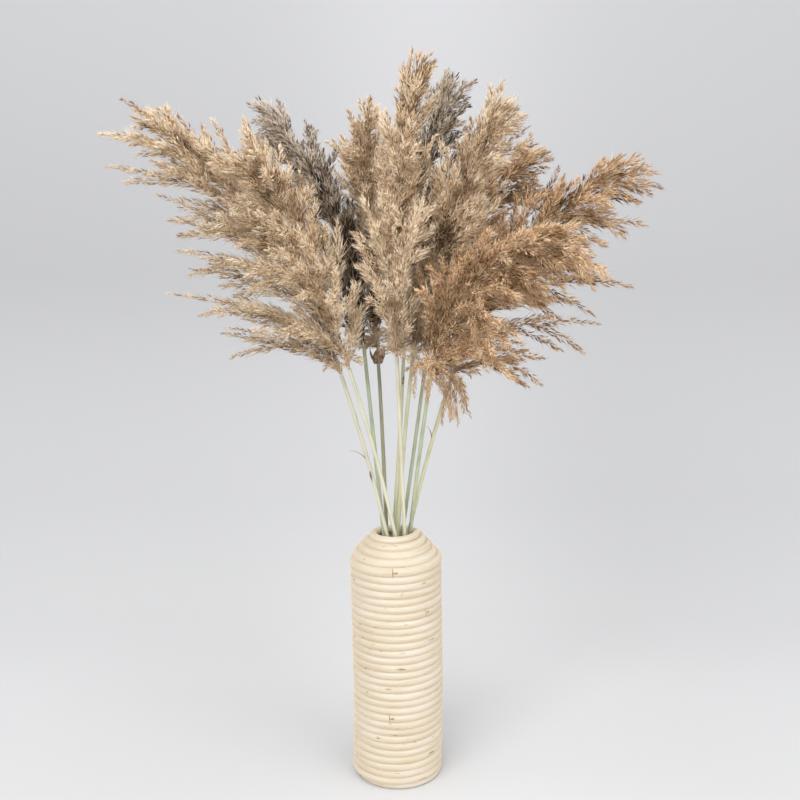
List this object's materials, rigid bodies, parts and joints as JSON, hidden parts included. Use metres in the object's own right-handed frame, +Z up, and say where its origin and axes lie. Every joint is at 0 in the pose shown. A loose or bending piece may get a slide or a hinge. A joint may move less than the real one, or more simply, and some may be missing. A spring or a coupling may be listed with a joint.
{
  "type": "bundle of pampas grass in a vase",
  "caption": "Bundle of dried pampas grass: bare stalks with feathery plumes fanning out of a tall narrow-mouthed vase wound from round cane. It stands on the vase's flat underside.",
  "frame": {"origin": "centre of the vase's flat underside", "axes": "+Z up along the vase's axis, -Y towards the front, where the picture was taken from, +X to the right in the picture"},
  "size_m": [0.5617, 0.3536, 0.7906],
  "materials": {
    "cane": "satin",
    "stalk": "satin",
    "plume": "matte"
  },
  "bodies": {
    "root": {"vase": "cane", "stalk_01": "stalk", "stalk_02": "stalk", "stalk_03": "stalk", "stalk_04": "stalk", "stalk_05": "stalk", "stalk_06": "stalk", "stalk_07": "stalk", "stalk_08": "stalk", "stalk_09": "stalk", "stalk_10": "stalk", "plume_01": "plume", "plume_02": "plume", "plume_03": "plume", "plume_04": "plume", "plume_05": "plume", "plume_06": "plume", "plume_07": "plume", "plume_08": "plume", "plume_09": "plume", "plume_10": "plume"}
  },
  "joints": []
}
